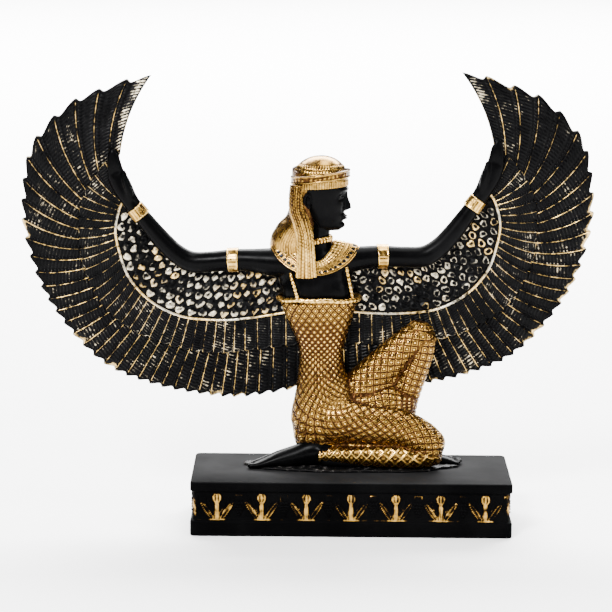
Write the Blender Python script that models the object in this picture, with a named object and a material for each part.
"""A kneeling winged goddess, cast in resin, on her rectangular plinth.

+X is the way she faces, -Y is the front, +Z is up, and the origin is the centre of the plinth's
underside. The figure's tables are in millimetres for a figure FIGURE_AS_DRAWN high, with heights
above the plinth's top, and FIGURE_HEIGHT scales them.
"""

import math

import bmesh
import bpy
import numpy as np
from mathutils import Vector

MM = 0.001

# Plinth
PLINTH_WIDTH = 160.0
PLINTH_DEPTH = 66.0
PLINTH_HEIGHT = 27.6
LOWER_BAND = 7.7
UPPER_BAND = 5.0
FRIEZE_RECESS = 1.0
EDGE_ROUNDING = 1.1
MOTIF_PITCH = 22.2
MOTIF_PROUD = 0.7
CORNER_RADIUS = 2.2
CORNER_CLEARANCE = 1.2

# Figure
FIGURE_AS_DRAWN = 159.2
FIGURE_HEIGHT = 159.2
SEAT_GAP = 0.3
MOUND_HEIGHT = 1.6
HEAD_TURN = math.radians(-8)
BAND_PROUD = 0.6
BAND_HEIGHT = 3.7
ARMLET_WIDTH = 5.8
ARMLET_PROUD = 0.75

# Wings
WING_AXIS_X = -22.6
SHOULDER_HEIGHT = 105.4
ARM_TILT = math.radians(1.9)
WING_HALF_SPAN = 144.0
WING_ROOT_Y = 12.6
WING_BOW = 3.2
WING_ROOT_THICKNESS = 3.8
WING_TIP_THICKNESS = 2.0
FEATHERS = 36
FEATHER_RIDGE = 0.9
TIP_NOTCH = 0.06
COVERT_STEP = 1.2
COVERT_NOTCH = 0.1
SCALE_STEP = 1.9
SCALE_BUMP = 0.9
SCALE_ROWS = 3
CORD_PROUD = 1.5

# How each wing hangs, -1 behind her and 1 before her: tilt about the shoulder, lift, and the
# share of the drawn height above and below the shoulder
WING_POSES = {
    -1: (math.radians(0.6), -1.7, 1.0, 1.0),
    1: (math.radians(1.1), 0.0, 0.985, 0.965),
}

SCALE = FIGURE_HEIGHT / FIGURE_AS_DRAWN

GOLD = ((0.62, 0.36, 0.09, 1.0), 0.35, 0.9)
BLACK = ((0.012, 0.012, 0.013, 1.0), 0.38, 0.0)


def clear_scene():
    for obj in list(bpy.data.objects):
        bpy.data.objects.remove(obj, do_unlink=True)


def material(name, look):
    colour, roughness, metallic = look
    made = bpy.data.materials.new(name)
    made.use_nodes = True
    shader = made.node_tree.nodes["Principled BSDF"]
    shader.inputs["Base Color"].default_value = colour
    shader.inputs["Roughness"].default_value = roughness
    shader.inputs["Metallic"].default_value = metallic
    return made


def smooth(knots, values, at):
    """Smooth curve through values at knots, read at the points in at."""
    knots = np.asarray(knots, float)
    values = np.asarray(values, float)
    at = np.asarray(at, float)
    slopes = np.gradient(values, knots, axis=0)
    k = np.clip(np.searchsorted(knots, at, side="right") - 1, 0, len(knots) - 2)
    width = knots[k + 1] - knots[k]
    u = (at - knots[k]) / width
    shape = (slice(None),) + (None,) * (values.ndim - 1)
    u, width = u[shape], width[shape]
    return (
        (2 * u**3 - 3 * u**2 + 1) * values[k]
        + (u**3 - 2 * u**2 + u) * width * slopes[k]
        + (3 * u**2 - 2 * u**3) * values[k + 1]
        + (u**3 - u**2) * width * slopes[k + 1]
    )


def mesh_object(name, verts, faces, look=None, helper=False):
    """An object from points in millimetres, with its faces turned outwards."""
    mesh = bpy.data.meshes.new(name)
    mesh.from_pydata([Vector(v) * MM for v in verts], [], faces)
    bm = bmesh.new()
    bm.from_mesh(mesh)
    bmesh.ops.recalc_face_normals(bm, faces=bm.faces)
    bm.to_mesh(mesh)
    bm.free()
    obj = bpy.data.objects.new(name, mesh)
    bpy.context.scene.collection.objects.link(obj)
    if look:
        mesh.materials.append(look)
    if helper:
        obj.hide_render = True
        obj.display_type = "WIRE"
    return obj


def bridge(rings):
    """Vertices and faces of a closed body: rings of equal count, joined in order and capped flat."""
    count = len(rings[0])
    verts = [tuple(p) for ring in rings for p in ring]
    faces = [tuple(range(count))[::-1]]
    for r in range(len(rings) - 1):
        a, b = r * count, (r + 1) * count
        for i in range(count):
            j = (i + 1) % count
            faces.append((a + i, a + j, b + j, b + i))
    last = (len(rings) - 1) * count
    faces.append(tuple(range(last, last + count)))
    return verts, faces


def figure_to_world(points):
    """From the figure's table frame to millimetres above the plinth's underside."""
    points = np.asarray(points, float) * SCALE
    points[..., 2] += PLINTH_HEIGHT + SEAT_GAP
    return points


def limb_rings(stations, sides, steps, domes=(0.0, 0.0), flute=0.0):
    """Elliptical rings along stations of (x, y, z, half width in the XZ plane, half depth).

    domes are how far the two ends round out, and flute is the depth of grooves round the section.
    """
    stations = np.asarray(stations, float)
    knots = np.arange(len(stations), dtype=float)
    at = np.linspace(0, len(stations) - 1, (len(stations) - 1) * steps + 1)
    path = smooth(knots, stations, at)
    along = np.gradient(path[:, :3], axis=0)
    along /= np.linalg.norm(along, axis=1)[:, None]
    across = np.cross([0.0, 1.0, 0.0], along)
    across /= np.linalg.norm(across, axis=1)[:, None]
    depth = np.cross(along, across)
    turn = np.arange(sides) * 2 * math.pi / sides
    grooves = 1 - flute * (np.arange(sides) % 2)

    def ring(i, grow=1.0, shift=0.0):
        centre = path[i, :3] + along[i] * shift
        return (
            centre
            + np.outer(np.cos(turn) * grooves, across[i]) * path[i, 3] * grow
            + np.outer(np.sin(turn) * grooves, depth[i]) * path[i, 4] * grow
        )

    caps = [(0.45, 0.92), (0.8, 0.72), (0.97, 0.36)]
    rings = []
    if domes[0]:
        rings += [ring(0, w, -domes[0] * s) for s, w in reversed(caps)]
    rings += [ring(i) for i in range(len(path))]
    if domes[1]:
        rings += [ring(-1, w, domes[1] * s) for s, w in caps]
    return rings


def limb(name, stations, sides=12, steps=2, domes=(0.0, 0.0), flute=0.0):
    rings = limb_rings(stations, sides, steps, domes, flute)
    return mesh_object(name, *bridge([figure_to_world(r) for r in rings]), helper=True)


# The body, from the hem to the neck: x, y, height, half width, half depth
TORSO = [
    (-14.0, 4.0, 9.0, 10.6, 7.0),
    (-14.2, 4.5, 13.9, 14.8, 9.8),
    (-12.8, 5.2, 22.0, 17.6, 11.8),
    (-13.0, 6.0, 33.4, 16.5, 12.0),
    (-15.0, 7.0, 46.7, 12.2, 10.0),
    (-15.4, 7.8, 56.0, 10.9, 9.2),
    (-15.3, 8.0, 69.9, 14.0, 10.0),
    (-17.4, 8.0, 86.0, 17.6, 10.4),
    (-18.6, 8.0, 96.0, 18.6, 9.8),
    (-19.8, 8.0, 106.4, 18.0, 8.0),
    (-19.0, 7.6, 110.6, 12.0, 6.4),
    (-17.8, 7.0, 113.2, 6.6, 5.6),
]
NECK = [
    (-17.6, 7.0, 108.0, 6.4, 6.0),
    (-17.0, 6.4, 114.0, 4.9, 4.9),
    (-16.4, 5.6, 120.0, 4.8, 4.8),
    (-16.0, 5.0, 127.0, 5.6, 5.6),
]
DRESS_RIM = [
    (-16.8, 7.6, 82.8, 19.0, 12.7),
    (-16.9, 7.6, 84.2, 20.4, 13.5),
    (-17.0, 7.6, 86.6, 19.6, 12.6),
]
DRESS_FLARE = [
    (-15.6, 7.9, 66.0, 12.6, 9.4),
    (-16.2, 7.7, 76.0, 16.8, 11.4),
    (-16.8, 7.6, 84.6, 19.4, 12.6),
]

# The leg she kneels on, in front
NEAR_THIGH = [
    (-12.0, 1.5, 24.0, 12.0, 10.0),
    (-2.0, -0.5, 24.0, 11.6, 9.4),
    (9.0, -1.8, 22.6, 10.8, 8.6),
    (24.0, -2.2, 21.0, 9.6, 7.9),
    (33.4, -2.4, 17.2, 9.0, 7.9),
    (39.4, -2.4, 12.8, 8.4, 7.9),
]
NEAR_CALF = [
    (39.6, -2.4, 9.8, 8.4, 7.6),
    (34.0, -3.0, 7.2, 6.6, 7.2),
    (20.0, -3.2, 6.9, 6.4, 7.0),
    (4.0, -3.0, 6.9, 6.0, 6.4),
    (-8.0, -2.6, 6.6, 5.0, 5.6),
    (-15.6, -2.4, 6.2, 3.8, 5.2),
]
HEM_RIM = [
    (-13.4, -2.4, 6.3, 4.4, 5.9),
    (-16.6, -2.4, 6.2, 4.4, 5.9),
]
NEAR_FOOT = [
    (-10.0, -1.8, 8.0, 5.4, 4.4),
    (-19.0, -1.0, 8.2, 6.6, 5.2),
    (-27.0, -0.4, 6.2, 5.6, 5.6),
    (-36.0, 0.0, 4.2, 4.4, 6.0),
    (-43.0, 0.2, 2.6, 2.8, 6.2),
    (-48.6, 0.2, 1.3, 1.7, 5.6),
]

# The leg whose knee is raised, behind
FAR_THIGH = [
    (-8.0, 8.4, 28.0, 12.0, 8.8),
    (4.0, 8.8, 38.0, 10.6, 8.4),
    (14.0, 9.2, 48.6, 9.4, 8.2),
    (25.0, 9.4, 58.8, 8.6, 8.0),
    (34.4, 9.4, 66.4, 8.3, 7.8),
]
FAR_CALF = [
    (34.8, 9.4, 66.4, 8.0, 7.8),
    (34.2, 9.4, 57.0, 7.2, 7.6),
    (30.4, 9.4, 45.0, 7.0, 7.4),
    (27.0, 9.2, 32.0, 6.6, 7.0),
    (25.6, 9.0, 18.0, 6.0, 6.2),
    (25.6, 9.0, 5.0, 6.4, 6.0),
]
THIGH_FOLD = [
    (-4.0, 4.0, 30.0, 9.0, 8.0),
    (8.0, 4.2, 31.0, 8.6, 7.4),
    (18.0, 4.8, 32.6, 8.6, 6.4),
    (25.6, 5.6, 32.4, 6.6, 5.0),
]
KNEE_FOLD = [
    (21.5, 9.0, 33.6, 5.0, 3.4),
    (21.5, 9.0, 41.0, 7.4, 4.6),
    (21.5, 9.0, 48.4, 5.0, 3.4),
]
FAR_FOOT = [
    (22.0, 9.0, 3.6, 3.8, 5.2),
    (34.0, 9.2, 3.6, 3.8, 5.4),
    (45.0, 9.4, 2.6, 2.8, 5.4),
    (52.0, 9.6, 1.5, 1.9, 5.0),
]

# An arm along the wing, as span from WING_AXIS_X, y, height, half width, half depth
ARM = [
    (9.0, 7.4, 103.6, 7.0, 6.8),
    (17.0, 7.6, 104.3, 7.3, 7.0),
    (27.0, 8.6, 105.3, 6.0, 5.9),
    (37.5, 9.6, 105.7, 5.5, 5.3),
    (48.0, 10.2, 105.0, 5.3, 5.0),
    (58.5, 10.8, 105.0, 5.4, 4.9),
    (66.5, 11.0, 109.6, 5.0, 4.7),
    (73.0, 11.0, 116.2, 4.8, 4.5),
    (79.4, 11.0, 124.2, 4.4, 4.2),
    (85.2, 11.0, 131.8, 4.0, 3.8),
]
HAND = [
    (83.6, 11.2, 129.6, 3.9, 3.8),
    (88.8, 11.6, 137.0, 4.3, 3.6),
    (92.6, 12.6, 144.0, 5.1, 3.6),
    (95.2, 12.6, 151.0, 4.8, 3.0),
    (96.2, 12.4, 157.6, 4.0, 2.0),
    (96.0, 12.8, 162.4, 2.6, 1.5),
]
ARMLET_SPAN = 37.6
BRACELET_SPAN = 84.6

# The wing's lines, as feather number from the body outwards, span, height
FEATHER_TIPS = [
    (0, 4.0, 38.6),
    (4, 32.0, 35.1),
    (8, 56.0, 36.6),
    (12, 81.0, 42.1),
    (16, 104.0, 52.6),
    (20, 124.0, 74.0),
    (24, 138.0, 100.3),
    (28, 144.0, 137.4),
    (31, 136.0, 169.3),
    (33, 116.0, 187.8),
    (34, 104.0, 192.6),
    (35, 90.0, 197.3),
    (36, 78.2, 199.1),
]
COVERT_TIPS = [
    (0, 4.0, 61.9),
    (4, 30.0, 59.7),
    (8, 50.0, 58.7),
    (12, 70.0, 62.4),
    (16, 88.8, 70.3),
    (20, 103.0, 82.6),
    (24, 112.5, 101.3),
    (28, 115.0, 120.8),
    (31, 113.5, 135.4),
    (34, 106.0, 150.0),
    (36, 95.2, 161.8),
]
CORD_LINE = [
    (0, 4.0, 79.0),
    (4, 30.0, 75.8),
    (8, 48.0, 75.2),
    (12, 65.0, 77.2),
    (16, 80.0, 85.0),
    (20, 90.5, 97.0),
    (24, 95.3, 110.6),
    (28, 97.0, 122.0),
    (31, 95.4, 130.0),
    (34, 93.0, 135.6),
    (36, 89.1, 140.4),
]
ARM_LINE = [
    (0, 4.0, 103.5),
    (4, 26.0, 105.3),
    (8, 40.0, 105.5),
    (12, 50.0, 105.0),
    (16, 60.0, 106.0),
    (20, 66.5, 110.5),
    (24, 74.0, 118.0),
    (28, 81.0, 126.2),
    (31, 85.0, 129.6),
    (34, 87.4, 132.0),
    (36, 87.4, 135.2),
]


def line_at(table, number):
    table = np.asarray(table, float)
    return smooth(table[:, 0], table[:, 1:], number)


def wing_front(span):
    """Depth of the outer feathers' face: flat at the root and the tips, bowed back between."""
    return WING_ROOT_Y + WING_BOW * np.sin(math.pi * np.clip(span / WING_HALF_SPAN, 0, 1))


def turned(side, span, y, up, tilt):
    """From span and height over the shoulder to x, y, height, turned about the shoulder."""
    x = WING_AXIS_X + span * side * math.cos(tilt) - up * math.sin(tilt)
    z = SHOULDER_HEIGHT + span * side * math.sin(tilt) + up * math.cos(tilt)
    return np.stack([x, y, z], axis=-1)


def wing_to_figure(side, points):
    points = np.asarray(points, float)
    tilt, lift, rise, drop = WING_POSES[side]
    up = points[..., 2] - SHOULDER_HEIGHT
    up = np.where(up > 0, up * rise, up * drop) + lift * np.clip(points[..., 0] / 40, 0, 1)
    return turned(side, points[..., 0], points[..., 1], up, tilt)


def wing_rows():
    """The face of a wing, row by row from the arm to the tips.

    There are two columns a feather. Each row is span and height, how far it stands proud of the
    outer feathers' face and how thick the wing is there.
    """
    number = np.linspace(0, FEATHERS, FEATHERS * 2 + 1)
    seam = (np.arange(len(number)) % 2 == 0) * 1.0
    middle = 1.0 - seam
    arm, cord = line_at(ARM_LINE, number), line_at(CORD_LINE, number)
    coverts, tips = line_at(COVERT_TIPS, number), line_at(FEATHER_TIPS, number)
    flat = 0.0 * number
    rows = []
    for r in range(SCALE_ROWS + 1):
        share = 0.97 * r / SCALE_ROWS
        bump = SCALE_BUMP * (seam if r % 2 else middle) * (0 < r < SCALE_ROWS)
        rows.append((arm + (cord - arm) * share, SCALE_STEP + bump))
    rows.append((cord, SCALE_STEP + CORD_PROUD + flat))
    down = coverts - cord
    rows.append((cord + down * 0.07, COVERT_STEP + FEATHER_RIDGE * middle))
    rounded = (1.03 - COVERT_NOTCH * middle)[:, None]
    rows.append((cord + down * rounded, COVERT_STEP + FEATHER_RIDGE * middle))
    rows.append((cord + down * (rounded + 0.02), FEATHER_RIDGE * seam * 0.6))
    out = tips - coverts
    rows.append((coverts + out * (1 - TIP_NOTCH * middle)[:, None], FEATHER_RIDGE * seam))
    return rows


def wing(side):
    """One wing: a closed sheet whose face carries the rows and whose back is smooth."""
    front, back = [], []
    rows = wing_rows()
    marks = (0, SCALE_ROWS + 3, len(rows) - 1)
    for r, (place, proud) in enumerate(rows):
        face = wing_front(place[:, 0])
        front.append(np.stack([place[:, 0], face - proud, place[:, 1]], axis=1))
        if r in marks:
            thick = WING_TIP_THICKNESS if r == marks[-1] else WING_ROOT_THICKNESS
            back.append(np.stack([place[:, 0], face + thick, place[:, 1]], axis=1))
    front, back = np.array(front), np.array(back)
    columns = front.shape[1]
    verts = np.concatenate([front.reshape(-1, 3), back.reshape(-1, 3)])
    faces = []
    for grid_rows, start in ((len(front), 0), (len(back), front.size // 3)):
        for r in range(grid_rows - 1):
            for c in range(columns - 1):
                a = start + r * columns + c
                faces.append((a, a + 1, a + columns + 1, a + columns))
    behind = front.size // 3
    for r_front, r_back in ((0, 0), (len(front) - 1, len(back) - 1)):
        for c in range(columns - 1):
            a, b = r_front * columns + c, behind + r_back * columns + c
            faces.append((a, a + 1, b + 1, b))
    for k in range(len(marks) - 1):
        middle = (marks[k] + marks[k + 1]) // 2
        for c in (0, columns - 1):
            near, far = behind + k * columns + c, behind + (k + 1) * columns + c
            for r in range(marks[k], marks[k + 1]):
                a = r * columns + c
                faces.append((a, a + columns, near if r < middle else far))
            faces.append((middle * columns + c, far, near))
    return mesh_object("wing", figure_to_world(wing_to_figure(side, verts)), faces, helper=True)


def arm_stations(side, table):
    table = np.asarray(table, float)
    place = turned(side, table[:, 0], table[:, 1], table[:, 2] - SHOULDER_HEIGHT, ARM_TILT)
    return np.hstack([place, table[:, 3:]])


def ring_on_arm(name, side, span):
    """A band round the arm where it crosses a span, standing proud of the arm there."""
    table = np.asarray(ARM)
    ends = [span - ARMLET_WIDTH * 0.5, span + ARMLET_WIDTH * 0.5]
    if span > table[5, 0]:
        ends = [span - ARMLET_WIDTH * 0.3, span + ARMLET_WIDTH * 0.3]
    stations = smooth(table[:, 0], table, np.array(ends))
    stations[:, 3:] += ARMLET_PROUD
    return limb(name, arm_stations(side, stations), sides=10, steps=1)


def arm_pieces(side):
    return [
        limb("arm", arm_stations(side, ARM), sides=8, steps=1),
        limb("hand", arm_stations(side, HAND), sides=8, steps=1, domes=(0.0, 0.8)),
        ring_on_arm("armlet", side, ARMLET_SPAN),
        ring_on_arm("bracelet", side, BRACELET_SPAN),
    ]


# The head, in shares of its height from chin to crown: height, reach forward, reach back, half width
HEAD_HEIGHT = 36.0
CHIN_HEIGHT = 121.0
HEAD_CENTRE = (-16.0, 5.0)
HEAD_LEVELS = [
    (0.00, 0.250, 0.02, 0.09),
    (0.05, 0.300, 0.04, 0.14),
    (0.11, 0.305, 0.08, 0.18),
    (0.19, 0.325, 0.16, 0.225),
    (0.27, 0.315, 0.24, 0.255),
    (0.36, 0.325, 0.31, 0.28),
    (0.47, 0.330, 0.36, 0.30),
    (0.57, 0.362, 0.38, 0.31),
    (0.70, 0.350, 0.38, 0.31),
    (0.83, 0.290, 0.32, 0.27),
    (0.93, 0.190, 0.22, 0.19),
    (1.00, 0.070, 0.08, 0.06),
]
CAP_LEVELS = [
    (0.60, 0.370, 0.405, 0.340),
    (0.71, 0.370, 0.405, 0.340),
    (0.80, 0.357, 0.391, 0.328),
    (0.90, 0.304, 0.334, 0.280),
    (0.98, 0.214, 0.235, 0.197),
    (1.03, 0.078, 0.085, 0.072),
]
BAND_SHARE = 0.69
BAND_LIFT = 0.055
NOSE = ((0.27, 0.045), (0.31, 0.085), (0.38, 0.06), (0.45, 0.03))
EAR_LEVELS = ((0.35, 0.022), (0.40, 0.040), (0.47, 0.046), (0.53, 0.026))
EAR_BACK = 0.146


def head_point(share_x, share_y, share_z):
    """A point of the head, given in shares of its height, turned to the way she looks."""
    x, y = share_x * HEAD_HEIGHT, share_y * HEAD_HEIGHT
    return (
        HEAD_CENTRE[0] + x * math.cos(HEAD_TURN) - y * math.sin(HEAD_TURN),
        HEAD_CENTRE[1] + x * math.sin(HEAD_TURN) + y * math.cos(HEAD_TURN),
        CHIN_HEIGHT + share_z * HEAD_HEIGHT,
    )


def head_ring(level, sides=14, grow=0.0, flute=0.0, lift=0.0):
    """A ring of the head at a level; lift raises it in front and lowers it behind."""
    up, forward, back, half = level
    ring = []
    for i in range(sides):
        turn = 2 * math.pi * i / sides
        reach = ((forward if math.cos(turn) > 0 else back) + grow) * (1 - flute * (i % 2))
        wide = (half + grow) * (1 - flute * (i % 2))
        ring.append(
            head_point(reach * math.cos(turn), wide * math.sin(turn), up + lift * math.cos(turn))
        )
    return figure_to_world(ring)


def head():
    rings = [head_ring(level) for level in HEAD_LEVELS]
    return mesh_object("head", *bridge(rings), helper=True)


def nose():
    """A wedge down the middle of the face."""
    rings = []
    for up, proud in NOSE:
        level = smooth([l[0] for l in HEAD_LEVELS], np.array(HEAD_LEVELS), np.array([up]))[0]
        tip, half = level[1] + proud, 0.030
        corners = [(level[1] - 0.06, -half * 1.6), (tip - 0.02, -half), (tip, 0.0)]
        corners += [(tip - 0.02, half), (level[1] - 0.06, half * 1.6)]
        rings.append(figure_to_world([head_point(x, y, up) for x, y in corners]))
    return mesh_object("nose", *bridge(rings), helper=True)


def lips():
    rings = []
    for lift, size in ((-1.0, 0.45), (-0.4, 0.95), (0.4, 0.95), (1.0, 0.45)):
        ring = []
        for i in range(8):
            turn = 2 * math.pi * i / 8
            reach = 0.318 + 0.028 * size * math.cos(turn)
            ring.append(head_point(reach, 0.06 * size * math.sin(turn), 0.185 + lift * 0.03))
        rings.append(figure_to_world(ring))
    return mesh_object("lips", *bridge(rings), helper=True)


def ears():
    made = []
    for side in (-1, 1):
        rings = []
        for up, reach in EAR_LEVELS:
            ring = []
            for i in range(8):
                turn = 2 * math.pi * i / 8
                ring.append(
                    head_point(
                        reach * math.cos(turn) - EAR_BACK, side * (0.29 + 0.024 * math.sin(turn)), up
                    )
                )
            rings.append(figure_to_world(ring))
        made.append(mesh_object("ear", *bridge(rings), helper=True))
    return made


def wig():
    """Cap with its locks, band round the brow, long hair behind and one lappet in front."""
    cap = [head_ring(level, sides=18, flute=0.03) for level in CAP_LEVELS]
    cap = mesh_object("cap", *bridge(cap), helper=True)
    band = [
        head_ring((up, *CAP_LEVELS[1][1:]), 18, BAND_PROUD / HEAD_HEIGHT, 0.0, BAND_LIFT)
        for up in (BAND_SHARE, BAND_SHARE + BAND_HEIGHT / HEAD_HEIGHT)
    ]
    band = mesh_object("brow_band", *bridge(band), helper=True)
    fall = limb(
        "back_hair",
        [
            (-23.6, 6.0, 151.0, 7.0, 9.6),
            (-24.2, 7.2, 140.0, 6.9, 11.2),
            (-26.0, 9.2, 124.0, 8.4, 11.2),
            (-28.6, 10.2, 117.0, 11.0, 10.2),
            (-29.4, 11.0, 111.4, 12.2, 9.4),
            (-26.4, 13.0, 102.0, 12.0, 7.4),
            (-22.6, 14.0, 88.0, 11.0, 5.0),
        ],
        sides=12,
        steps=1,
        flute=0.05,
    )
    lappet = limb(
        "lappet",
        [
            (-28.2, -2.0, 144.0, 2.9, 3.6),
            (-28.2, -3.2, 132.0, 3.3, 3.8),
            (-26.0, -4.0, 126.0, 3.7, 3.7),
            (-24.3, -4.6, 119.5, 3.8, 3.5),
            (-23.7, -4.8, 112.0, 4.0, 3.5),
            (-23.5, -4.6, 104.0, 4.3, 3.6),
            (-23.3, -4.1, 98.2, 4.7, 3.4),
        ],
        sides=8,
        steps=1,
        flute=0.07,
    )
    return [cap, band, fall, lappet]


# The broad collar, by share of its half width: how high it lies on the shoulders, down the chest
# and down the back
COLLAR_CENTRE = (-19.05, 7.6)
COLLAR_HALF_WIDTH = 22.2
COLLAR_FRONT_REACH = 11.4
COLLAR_BACK_REACH = 8.6
COLLAR_LEVELS = [
    (0.25, 114.8, 105.6, 113.0),
    (0.40, 114.8, 105.6, 113.0),
    (0.60, 114.2, 103.8, 109.0),
    (0.80, 113.4, 101.6, 105.0),
    (1.00, 111.6, 98.8, 100.0),
]
# Its rings, from the inner edge to the outer and back under: share, how proud, how far down
COLLAR_RINGS = (
    (0.25, 0.0, 5.0),
    (0.40, 0.7, 0.0),
    (0.60, 1.0, 0.0),
    (0.61, 0.6, 0.0),
    (0.80, 1.0, 0.0),
    (0.81, 0.6, 0.0),
    (1.00, 0.8, 0.0),
    (1.00, -0.9, 0.0),
    (0.50, 0.0, 6.0),
)


def collar_point(share, turn, proud, down):
    """A point on the collar: nearly level over the shoulders and hanging down chest and back."""
    shares, level, chest, back = np.array(COLLAR_LEVELS).T
    ahead = math.sin(turn) < 0
    level = np.interp(share, shares, level)
    hang = np.interp(share, shares, chest if ahead else back)
    swing = abs(math.sin(turn)) ** 1.5
    reach = (COLLAR_FRONT_REACH if ahead else COLLAR_BACK_REACH) * (0.47 + 0.53 * share)
    return (
        COLLAR_CENTRE[0] + (COLLAR_HALF_WIDTH * share + 0.5 * proud) * math.cos(turn),
        COLLAR_CENTRE[1] + (reach + 0.8 * proud) * math.sin(turn),
        level + (hang - level) * swing + 0.7 * proud * (1 - swing) - down,
    )


def collar():
    """The broad bead collar: rings that follow the shoulders, stepped down at each row of beads."""
    rings = []
    for share, proud, down in COLLAR_RINGS:
        ring = [collar_point(share, 2 * math.pi * i / 16, proud, down) for i in range(16)]
        rings.append(figure_to_world(ring))
    return mesh_object("collar", *bridge(rings), helper=True)


def mound():
    """The rough ground cast under her."""
    rings = []
    for share, up in ((1.0, -2.0), (1.0, 0.3), (0.94, 1.0)):
        ring = []
        for i in range(18):
            turn = 2 * math.pi * i / 18
            ripple = 1 + 0.035 * math.sin(5 * turn) + 0.03 * math.cos(7 * turn)
            ring.append(
                (
                    -1.0 + 53.0 * share * ripple * math.cos(turn),
                    3.6 + 14.6 * share * ripple * math.sin(turn),
                    up * MOUND_HEIGHT,
                )
            )
        rings.append(figure_to_world(ring))
    return mesh_object("mound", *bridge(rings), helper=True)


# Dress straps: the lower end and the upper end, and how deep they run into the chest
STRAP_WIDTH = 2.1
STRAPS = (
    ((-27.0, -2.4, 85.6), (-31.2, 0.2, 99.6), 2.4),
    ((0.2, 1.9, 85.6), (-3.2, 1.9, 102.6), 2.8),
)


def straps():
    """The two dress straps, from the rim to the collar."""
    made = []
    for low, high, deep in STRAPS:
        ends = [(*low, STRAP_WIDTH / 2, deep), (*high, STRAP_WIDTH / 2, deep)]
        made.append(limb("strap", ends, sides=6, steps=1))
    return made


def seat_cutter():
    """A block that takes off all that would reach down into the plinth."""
    top = PLINTH_HEIGHT + SEAT_GAP
    wide, deep, down = PLINTH_WIDTH * 0.6, PLINTH_DEPTH * 0.8, PLINTH_HEIGHT * 0.9
    corners = ((-wide, -deep), (wide, -deep), (wide, deep), (-wide, deep))
    rings = [[(x, y, z) for x, y in corners] for z in (top - down, top)]
    return mesh_object("seat_cutter", *bridge(rings), helper=True)


def goddess(look):
    """Every form of the casting, united into one body."""
    pieces = [mound(), limb("neck", NECK, 12, 1), head(), nose(), lips(), collar()]
    pieces += ears() + wig() + straps()
    pieces += [
        limb("dress_rim", DRESS_RIM, 14, 1),
        limb("dress_flare", DRESS_FLARE, 14, 1),
        limb("near_thigh", NEAR_THIGH, 12, 1, (0.0, 7.6)),
        limb("near_calf", NEAR_CALF, 12, 1, (5.6, 0.0)),
        limb("hem_rim", HEM_RIM, 12, 1),
        limb("near_foot", NEAR_FOOT, 8, 1, (0.0, 3.2)),
        limb("far_thigh", FAR_THIGH, 12, 1, (0.0, 7.4)),
        limb("far_calf", FAR_CALF, 12, 1),
        limb("thigh_fold", THIGH_FOLD, 8, 1),
        limb("knee_fold", KNEE_FOLD, 8, 1),
        limb("far_foot", FAR_FOOT, 8, 1, (0.0, 2.6)),
    ]
    for side in (-1, 1):
        pieces += arm_pieces(side) + [wing(side)]
    forms = bpy.data.collections.new("forms")
    bpy.context.scene.collection.children.link(forms)
    for piece in pieces:
        bpy.context.scene.collection.objects.unlink(piece)
        forms.objects.link(piece)
    rings = [figure_to_world(r) for r in limb_rings(TORSO, 12, 1)]
    body = mesh_object("winged_goddess", *bridge(rings), look=look)
    union = body.modifiers.new("unite_forms", "BOOLEAN")
    union.operation = "UNION"
    union.operand_type = "COLLECTION"
    union.collection = forms
    union.solver = "MANIFOLD"
    trim = body.modifiers.new("flat_seat", "BOOLEAN")
    trim.operation = "DIFFERENCE"
    trim.object = seat_cutter()
    trim.solver = "MANIFOLD"
    return body


def rounded_rectangle(width, depth, radius, steps=2):
    """Corners of a rounded rectangle centred on the origin, anticlockwise from above."""
    points = []
    for sx, sy, start in ((1, 1, 0), (-1, 1, 90), (-1, -1, 180), (1, -1, 270)):
        for i in range(steps + 1):
            turn = math.radians(start + 90 * i / steps)
            x = sx * (width / 2 - radius) + radius * math.cos(turn)
            y = sy * (depth / 2 - radius) + radius * math.sin(turn)
            points.append((x, y))
    return points


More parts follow.
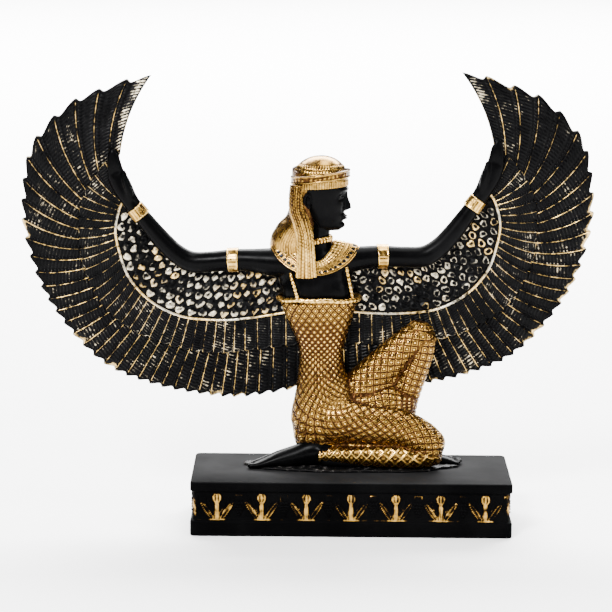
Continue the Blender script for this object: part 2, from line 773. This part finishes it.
# Plinth outline: height, how far in from the full size
def plinth_profile():
    top, low, high = PLINTH_HEIGHT, LOWER_BAND, PLINTH_HEIGHT - UPPER_BAND
    soft = EDGE_ROUNDING
    return (
        (0.0, soft * 0.5),
        (soft * 0.5, 0.0),
        (low - 0.4, 0.0),
        (low, 0.4),
        (low + 0.5, FRIEZE_RECESS),
        (high - 0.5, FRIEZE_RECESS),
        (high, 0.3),
        (high + 0.3, 0.0),
        (top - soft, 0.0),
        (top - soft * 0.3, soft * 0.3),
        (top, soft),
    )


LOTUS = (
    (1.6, 0.0),
    (1.6, 2.0),
    (7.6, 5.2),
    (8.2, 9.0),
    (1.9, 5.4),
    (0.0, 11.4),
)


def frieze_motifs():
    """Lotus plants standing in the recess, along all four sides, as shallow plates."""
    made = []
    outline = list(LOTUS) + [(-x, z) for x, z in reversed(LOTUS[:-1])]
    base = LOWER_BAND + 1.4
    for turn, length, depth in (
        (0, PLINTH_WIDTH, PLINTH_DEPTH),
        (1, PLINTH_DEPTH, PLINTH_WIDTH),
        (2, PLINTH_WIDTH, PLINTH_DEPTH),
        (3, PLINTH_DEPTH, PLINTH_WIDTH),
    ):
        count = int((length - 2 * CORNER_CLEARANCE) // MOTIF_PITCH)
        face = -depth / 2 + FRIEZE_RECESS
        for i in range(count):
            middle = (i - (count - 1) / 2) * MOTIF_PITCH
            rings = []
            for y in (face + 1.0, face - MOTIF_PROUD):
                ring = []
                for x, z in outline:
                    a, b = middle + x, y
                    for _ in range(turn):
                        a, b = -b, a
                    ring.append((a, b, base + z))
                rings.append(ring)
            made.append(mesh_object("lotus", *bridge(rings), helper=True))
    return made


def plinth(look):
    rings = []
    for z, inset in plinth_profile():
        outline = rounded_rectangle(
            PLINTH_WIDTH - 2 * inset, PLINTH_DEPTH - 2 * inset, CORNER_RADIUS
        )
        rings.append([(x, y, z) for x, y in outline])
    body = mesh_object("plinth", *bridge(rings), look=look)
    reliefs = bpy.data.collections.new("frieze")
    bpy.context.scene.collection.children.link(reliefs)
    for motif in frieze_motifs():
        bpy.context.scene.collection.objects.unlink(motif)
        reliefs.objects.link(motif)
    carve = body.modifiers.new("frieze_relief", "BOOLEAN")
    carve.operation = "UNION"
    carve.operand_type = "COLLECTION"
    carve.collection = reliefs
    carve.solver = "MANIFOLD"
    return body


def main():
    clear_scene()
    goddess(material("black_and_gold_paint", GOLD))
    plinth(material("black_paint", BLACK))


main()
